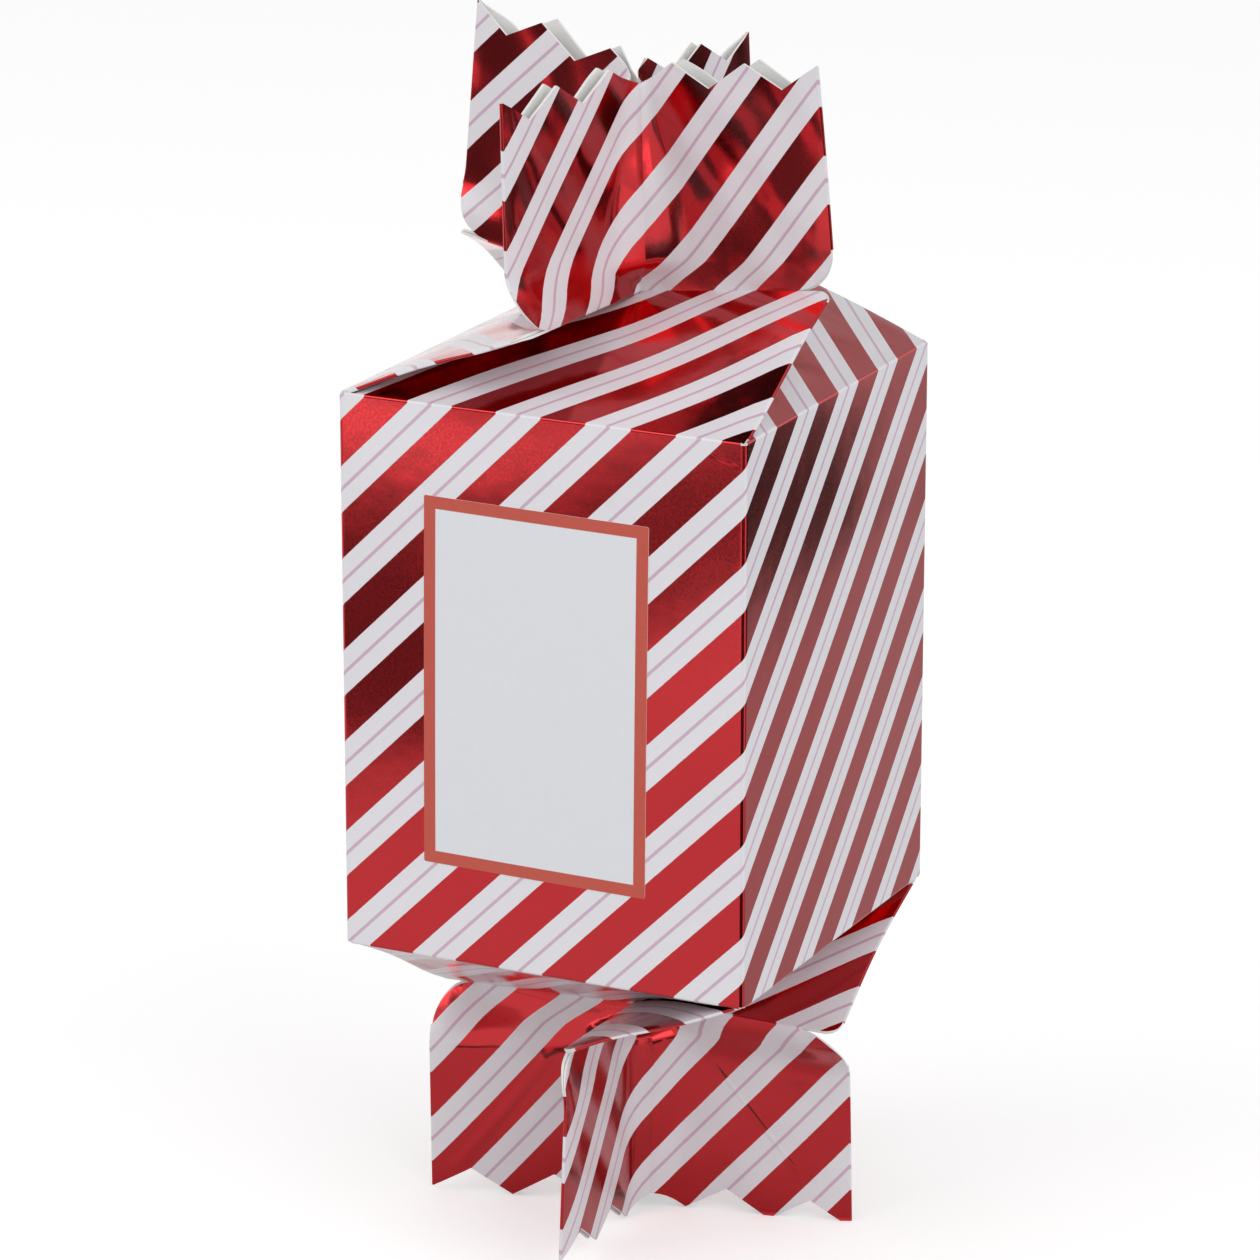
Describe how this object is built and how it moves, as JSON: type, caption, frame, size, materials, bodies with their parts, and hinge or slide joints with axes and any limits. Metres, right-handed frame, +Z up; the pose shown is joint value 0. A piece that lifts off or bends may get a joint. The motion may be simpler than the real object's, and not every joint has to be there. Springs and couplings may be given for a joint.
{
  "type": "christmas cracker",
  "caption": "Square gift-box Christmas cracker of striped foil card: pinwheel-folded ends that open, cross-shaped zigzag frills and a blank gift label, with its filling inside.",
  "frame": {"origin": "middle of the plane that the tips of the bottom frill stand on", "axes": "+Z up along the cracker from the bottom frill to the top frill; the labelled front faces -Y"},
  "size_m": [0.065, 0.0651, 0.1793],
  "materials": {
    "printed_card": "metallic red foil with matt white diagonal stripes",
    "bare_card": "matt",
    "label_paper": "satin",
    "snap_card": "matt",
    "snap_paper": "matt",
    "tissue": "matt",
    "slip_paper": "matt",
    "painted_wood": "gloss",
    "bare_wood": "satin"
  },
  "bodies": {
    "sleeve": {"front_panel": "printed_card", "right_panel": "printed_card", "back_panel": "printed_card", "left_panel": "printed_card", "seam_flap": "bare_card", "gift_label": "label_paper", "snap_strip_upper": "snap_card", "snap_strip_lower": "snap_card", "snap_band": "snap_paper", "paper_crown": "tissue", "motto_slip": "slip_paper", "spinning_top_disc": "painted_wood", "spinning_top_spindle": "bare_wood"},
    "top_front_roof": {"top_front_roof": "printed_card"},
    "top_front_frill": {"top_front_frill": "printed_card"},
    "top_right_gusset": {"top_right_gusset": "printed_card"},
    "top_right_wing": {"top_right_wing": "printed_card"},
    "top_right_roof": {"top_right_roof": "printed_card"},
    "top_right_frill": {"top_right_frill": "printed_card"},
    "top_back_gusset": {"top_back_gusset": "printed_card"},
    "top_back_wing": {"top_back_wing": "printed_card"},
    "top_back_roof": {"top_back_roof": "printed_card"},
    "top_back_frill": {"top_back_frill": "printed_card"},
    "top_left_gusset": {"top_left_gusset": "printed_card"},
    "top_left_wing": {"top_left_wing": "printed_card"},
    "top_left_roof": {"top_left_roof": "printed_card"},
    "top_left_frill": {"top_left_frill": "printed_card"},
    "top_front_gusset": {"top_front_gusset": "printed_card"},
    "top_front_wing": {"top_front_wing": "printed_card"},
    "bottom_front_roof": {"bottom_front_roof": "printed_card"},
    "bottom_front_frill": {"bottom_front_frill": "printed_card"},
    "bottom_left_gusset": {"bottom_left_gusset": "printed_card"},
    "bottom_left_wing": {"bottom_left_wing": "printed_card"},
    "bottom_left_roof": {"bottom_left_roof": "printed_card"},
    "bottom_left_frill": {"bottom_left_frill": "printed_card"},
    "bottom_back_gusset": {"bottom_back_gusset": "printed_card"},
    "bottom_back_wing": {"bottom_back_wing": "printed_card"},
    "bottom_back_roof": {"bottom_back_roof": "printed_card"},
    "bottom_back_frill": {"bottom_back_frill": "printed_card"},
    "bottom_right_gusset": {"bottom_right_gusset": "printed_card"},
    "bottom_right_wing": {"bottom_right_wing": "printed_card"},
    "bottom_right_roof": {"bottom_right_roof": "printed_card"},
    "bottom_right_frill": {"bottom_right_frill": "printed_card"},
    "bottom_front_gusset": {"bottom_front_gusset": "printed_card"},
    "bottom_front_wing": {"bottom_front_wing": "printed_card"}
  },
  "joints": [
    {"name": "open_top_end", "type": "hinge", "parent": "sleeve", "child": "top_front_roof", "pos_m": [0, -0.0321, 0.1319], "axis": [1, 0, 0], "range_deg": [0, 67.73], "deforming": ["top_right_gusset", "top_right_wing", "top_back_gusset", "top_back_wing", "top_left_gusset", "top_left_wing", "top_front_gusset", "top_front_wing"]},
    {"name": "top_front_frill_fold", "type": "hinge", "parent": "top_front_roof", "child": "top_front_frill", "pos_m": [0, -0.00043, 0.1453], "axis": [-1, 0, 0], "range_deg": [0, 67.73]},
    {"name": "top_right_gusset_fold", "type": "hinge", "parent": "top_front_roof", "child": "top_right_gusset", "pos_m": [0.03207, -0.03209, 0.13187], "axis": [0, -0.9254, -0.3789], "range_deg": [0, 90.01]},
    {"name": "top_right_wing_fold", "type": "hinge", "parent": "top_right_gusset", "child": "top_right_wing", "pos_m": [0, 0.00003, 0.14499], "axis": [-1, 0, 0], "range_deg": [0, 67.73]},
    {"name": "top_right_roof_fold", "type": "hinge", "parent": "sleeve", "child": "top_right_roof", "pos_m": [0.0321, 0, 0.1319], "axis": [0, 1, 0], "range_deg": [0, 67.73]},
    {"name": "top_right_frill_fold", "type": "hinge", "parent": "top_right_roof", "child": "top_right_frill", "pos_m": [0.00043, 0, 0.1453], "axis": [0, -1, 0], "range_deg": [0, 67.73]},
    {"name": "top_back_gusset_fold", "type": "hinge", "parent": "top_right_roof", "child": "top_back_gusset", "pos_m": [0.03209, 0.03207, 0.13187], "axis": [0.9254, 0, -0.3789], "range_deg": [0, 90.01]},
    {"name": "top_back_wing_fold", "type": "hinge", "parent": "top_back_gusset", "child": "top_back_wing", "pos_m": [-0.00003, 0, 0.14499], "axis": [0, -1, 0], "range_deg": [0, 67.73]},
    {"name": "top_back_roof_fold", "type": "hinge", "parent": "sleeve", "child": "top_back_roof", "pos_m": [0, 0.0321, 0.1319], "axis": [-1, 0, 0], "range_deg": [0, 67.73]},
    {"name": "top_back_frill_fold", "type": "hinge", "parent": "top_back_roof", "child": "top_back_frill", "pos_m": [0, 0.00043, 0.1453], "axis": [1, 0, 0], "range_deg": [0, 67.73]},
    {"name": "top_left_gusset_fold", "type": "hinge", "parent": "top_back_roof", "child": "top_left_gusset", "pos_m": [-0.03207, 0.03209, 0.13187], "axis": [0, 0.9254, -0.3789], "range_deg": [0, 90.01]},
    {"name": "top_left_wing_fold", "type": "hinge", "parent": "top_left_gusset", "child": "top_left_wing", "pos_m": [0, -0.00003, 0.14499], "axis": [1, 0, 0], "range_deg": [0, 67.73]},
    {"name": "top_left_roof_fold", "type": "hinge", "parent": "sleeve", "child": "top_left_roof", "pos_m": [-0.0321, 0, 0.1319], "axis": [0, -1, 0], "range_deg": [0, 67.73]},
    {"name": "top_left_frill_fold", "type": "hinge", "parent": "top_left_roof", "child": "top_left_frill", "pos_m": [-0.00043, 0, 0.1453], "axis": [0, 1, 0], "range_deg": [0, 67.73]},
    {"name": "top_front_gusset_fold", "type": "hinge", "parent": "top_left_roof", "child": "top_front_gusset", "pos_m": [-0.03209, -0.03207, 0.13187], "axis": [-0.9254, 0, -0.3789], "range_deg": [0, 90.01]},
    {"name": "top_front_wing_fold", "type": "hinge", "parent": "top_front_gusset", "child": "top_front_wing", "pos_m": [0.00003, 0, 0.14499], "axis": [0, 1, 0], "range_deg": [0, 67.73]},
    {"name": "open_bottom_end", "type": "hinge", "parent": "sleeve", "child": "bottom_front_roof", "pos_m": [0, -0.0321, 0.0479], "axis": [-1, 0, 0], "range_deg": [0, 64.72], "deforming": ["bottom_left_gusset", "bottom_left_wing", "bottom_back_gusset", "bottom_back_wing", "bottom_right_gusset", "bottom_right_wing", "bottom_front_gusset", "bottom_front_wing"]},
    {"name": "bottom_front_frill_fold", "type": "hinge", "parent": "bottom_front_roof", "child": "bottom_front_frill", "pos_m": [0, -0.00043, 0.0325], "axis": [1, 0, 0], "range_deg": [0, 64.72]},
    {"name": "bottom_left_gusset_fold", "type": "hinge", "parent": "bottom_front_roof", "child": "bottom_left_gusset", "pos_m": [-0.03207, -0.03209, 0.04793], "axis": [0, -0.9042, 0.4271], "range_deg": [0, 90.01]},
    {"name": "bottom_left_wing_fold", "type": "hinge", "parent": "bottom_left_gusset", "child": "bottom_left_wing", "pos_m": [0, 0.00003, 0.03279], "axis": [1, 0, 0], "range_deg": [0, 64.72]},
    {"name": "bottom_left_roof_fold", "type": "hinge", "parent": "sleeve", "child": "bottom_left_roof", "pos_m": [-0.0321, 0, 0.0479], "axis": [0, 1, 0], "range_deg": [0, 64.72]},
    {"name": "bottom_left_frill_fold", "type": "hinge", "parent": "bottom_left_roof", "child": "bottom_left_frill", "pos_m": [-0.00043, 0, 0.0325], "axis": [0, -1, 0], "range_deg": [0, 64.72]},
    {"name": "bottom_back_gusset_fold", "type": "hinge", "parent": "bottom_left_roof", "child": "bottom_back_gusset", "pos_m": [-0.03209, 0.03207, 0.04793], "axis": [-0.9042, 0, 0.4271], "range_deg": [0, 90.01]},
    {"name": "bottom_back_wing_fold", "type": "hinge", "parent": "bottom_back_gusset", "child": "bottom_back_wing", "pos_m": [0.00003, 0, 0.03279], "axis": [0, -1, 0], "range_deg": [0, 64.72]},
    {"name": "bottom_back_roof_fold", "type": "hinge", "parent": "sleeve", "child": "bottom_back_roof", "pos_m": [0, 0.0321, 0.0479], "axis": [1, 0, 0], "range_deg": [0, 64.72]},
    {"name": "bottom_back_frill_fold", "type": "hinge", "parent": "bottom_back_roof", "child": "bottom_back_frill", "pos_m": [0, 0.00043, 0.0325], "axis": [-1, 0, 0], "range_deg": [0, 64.72]},
    {"name": "bottom_right_gusset_fold", "type": "hinge", "parent": "bottom_back_roof", "child": "bottom_right_gusset", "pos_m": [0.03207, 0.03209, 0.04793], "axis": [0, 0.9042, 0.4271], "range_deg": [0, 90.01]},
    {"name": "bottom_right_wing_fold", "type": "hinge", "parent": "bottom_right_gusset", "child": "bottom_right_wing", "pos_m": [0, -0.00003, 0.03279], "axis": [-1, 0, 0], "range_deg": [0, 64.72]},
    {"name": "bottom_right_roof_fold", "type": "hinge", "parent": "sleeve", "child": "bottom_right_roof", "pos_m": [0.0321, 0, 0.0479], "axis": [0, -1, 0], "range_deg": [0, 64.72]},
    {"name": "bottom_right_frill_fold", "type": "hinge", "parent": "bottom_right_roof", "child": "bottom_right_frill", "pos_m": [0.00043, 0, 0.0325], "axis": [0, 1, 0], "range_deg": [0, 64.72]},
    {"name": "bottom_front_gusset_fold", "type": "hinge", "parent": "bottom_right_roof", "child": "bottom_front_gusset", "pos_m": [0.03209, -0.03207, 0.04793], "axis": [0.9042, 0, 0.4271], "range_deg": [0, 90.01]},
    {"name": "bottom_front_wing_fold", "type": "hinge", "parent": "bottom_front_gusset", "child": "bottom_front_wing", "pos_m": [-0.00003, 0, 0.03279], "axis": [0, 1, 0], "range_deg": [0, 64.72]}
  ],
  "couplings": [
    {"joint": "top_front_frill_fold", "follows": "open_top_end", "ratio": 1},
    {"joint": "top_right_gusset_fold", "follows": "open_top_end", "ratio": 1.3288},
    {"joint": "top_right_wing_fold", "follows": "open_top_end", "ratio": 1},
    {"joint": "top_right_roof_fold", "follows": "open_top_end", "ratio": 1},
    {"joint": "top_right_frill_fold", "follows": "open_top_end", "ratio": 1},
    {"joint": "top_back_gusset_fold", "follows": "open_top_end", "ratio": 1.3288},
    {"joint": "top_back_wing_fold", "follows": "open_top_end", "ratio": 1},
    {"joint": "top_back_roof_fold", "follows": "open_top_end", "ratio": 1},
    {"joint": "top_back_frill_fold", "follows": "open_top_end", "ratio": 1},
    {"joint": "top_left_gusset_fold", "follows": "open_top_end", "ratio": 1.3288},
    {"joint": "top_left_wing_fold", "follows": "open_top_end", "ratio": 1},
    {"joint": "top_left_roof_fold", "follows": "open_top_end", "ratio": 1},
    {"joint": "top_left_frill_fold", "follows": "open_top_end", "ratio": 1},
    {"joint": "top_front_gusset_fold", "follows": "open_top_end", "ratio": 1.3288},
    {"joint": "top_front_wing_fold", "follows": "open_top_end", "ratio": 1},
    {"joint": "bottom_front_frill_fold", "follows": "open_bottom_end", "ratio": 1},
    {"joint": "bottom_left_gusset_fold", "follows": "open_bottom_end", "ratio": 1.3906},
    {"joint": "bottom_left_wing_fold", "follows": "open_bottom_end", "ratio": 1},
    {"joint": "bottom_left_roof_fold", "follows": "open_bottom_end", "ratio": 1},
    {"joint": "bottom_left_frill_fold", "follows": "open_bottom_end", "ratio": 1},
    {"joint": "bottom_back_gusset_fold", "follows": "open_bottom_end", "ratio": 1.3906},
    {"joint": "bottom_back_wing_fold", "follows": "open_bottom_end", "ratio": 1},
    {"joint": "bottom_back_roof_fold", "follows": "open_bottom_end", "ratio": 1},
    {"joint": "bottom_back_frill_fold", "follows": "open_bottom_end", "ratio": 1},
    {"joint": "bottom_right_gusset_fold", "follows": "open_bottom_end", "ratio": 1.3906},
    {"joint": "bottom_right_wing_fold", "follows": "open_bottom_end", "ratio": 1},
    {"joint": "bottom_right_roof_fold", "follows": "open_bottom_end", "ratio": 1},
    {"joint": "bottom_right_frill_fold", "follows": "open_bottom_end", "ratio": 1},
    {"joint": "bottom_front_gusset_fold", "follows": "open_bottom_end", "ratio": 1.3906},
    {"joint": "bottom_front_wing_fold", "follows": "open_bottom_end", "ratio": 1}
  ]
}
